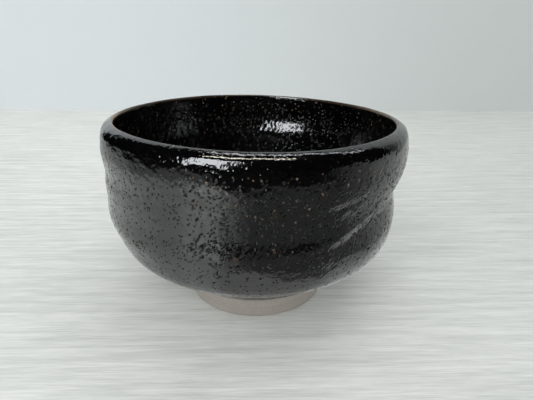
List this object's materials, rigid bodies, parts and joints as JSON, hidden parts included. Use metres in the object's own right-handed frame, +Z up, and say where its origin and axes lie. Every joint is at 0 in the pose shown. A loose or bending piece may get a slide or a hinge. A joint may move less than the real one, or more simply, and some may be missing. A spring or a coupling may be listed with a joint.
{
  "type": "matcha bowl",
  "caption": "Hand-shaped matcha tea bowl with a thick inward-curving lip, a pressed side with a climbing finger groove, black glaze and a bare clay foot ring.",
  "frame": {"origin": "centre of the circle that the foot stands on, at table height", "axes": "+Z up through the mouth; -Y is the front that the guest sees; +X is the side with the pressed hollow and groove"},
  "size_m": [0.1241, 0.124, 0.0798],
  "materials": {
    "bare_clay": "unglazed, dry and slightly sandy",
    "foot_clay": "unglazed, turned, worn smooth where it stands",
    "black_glaze": "glossy black with fine pits",
    "thin_glaze": "glossy, thin enough on the lip's inner edge to fire brown",
    "inner_black_glaze": "glossy black with fine pits"
  },
  "bodies": {
    "root": {"clay_body": "bare_clay", "foot_ring": "foot_clay", "outer_glaze": "black_glaze", "lip_glaze": "thin_glaze", "inner_glaze": "inner_black_glaze"}
  },
  "joints": []
}
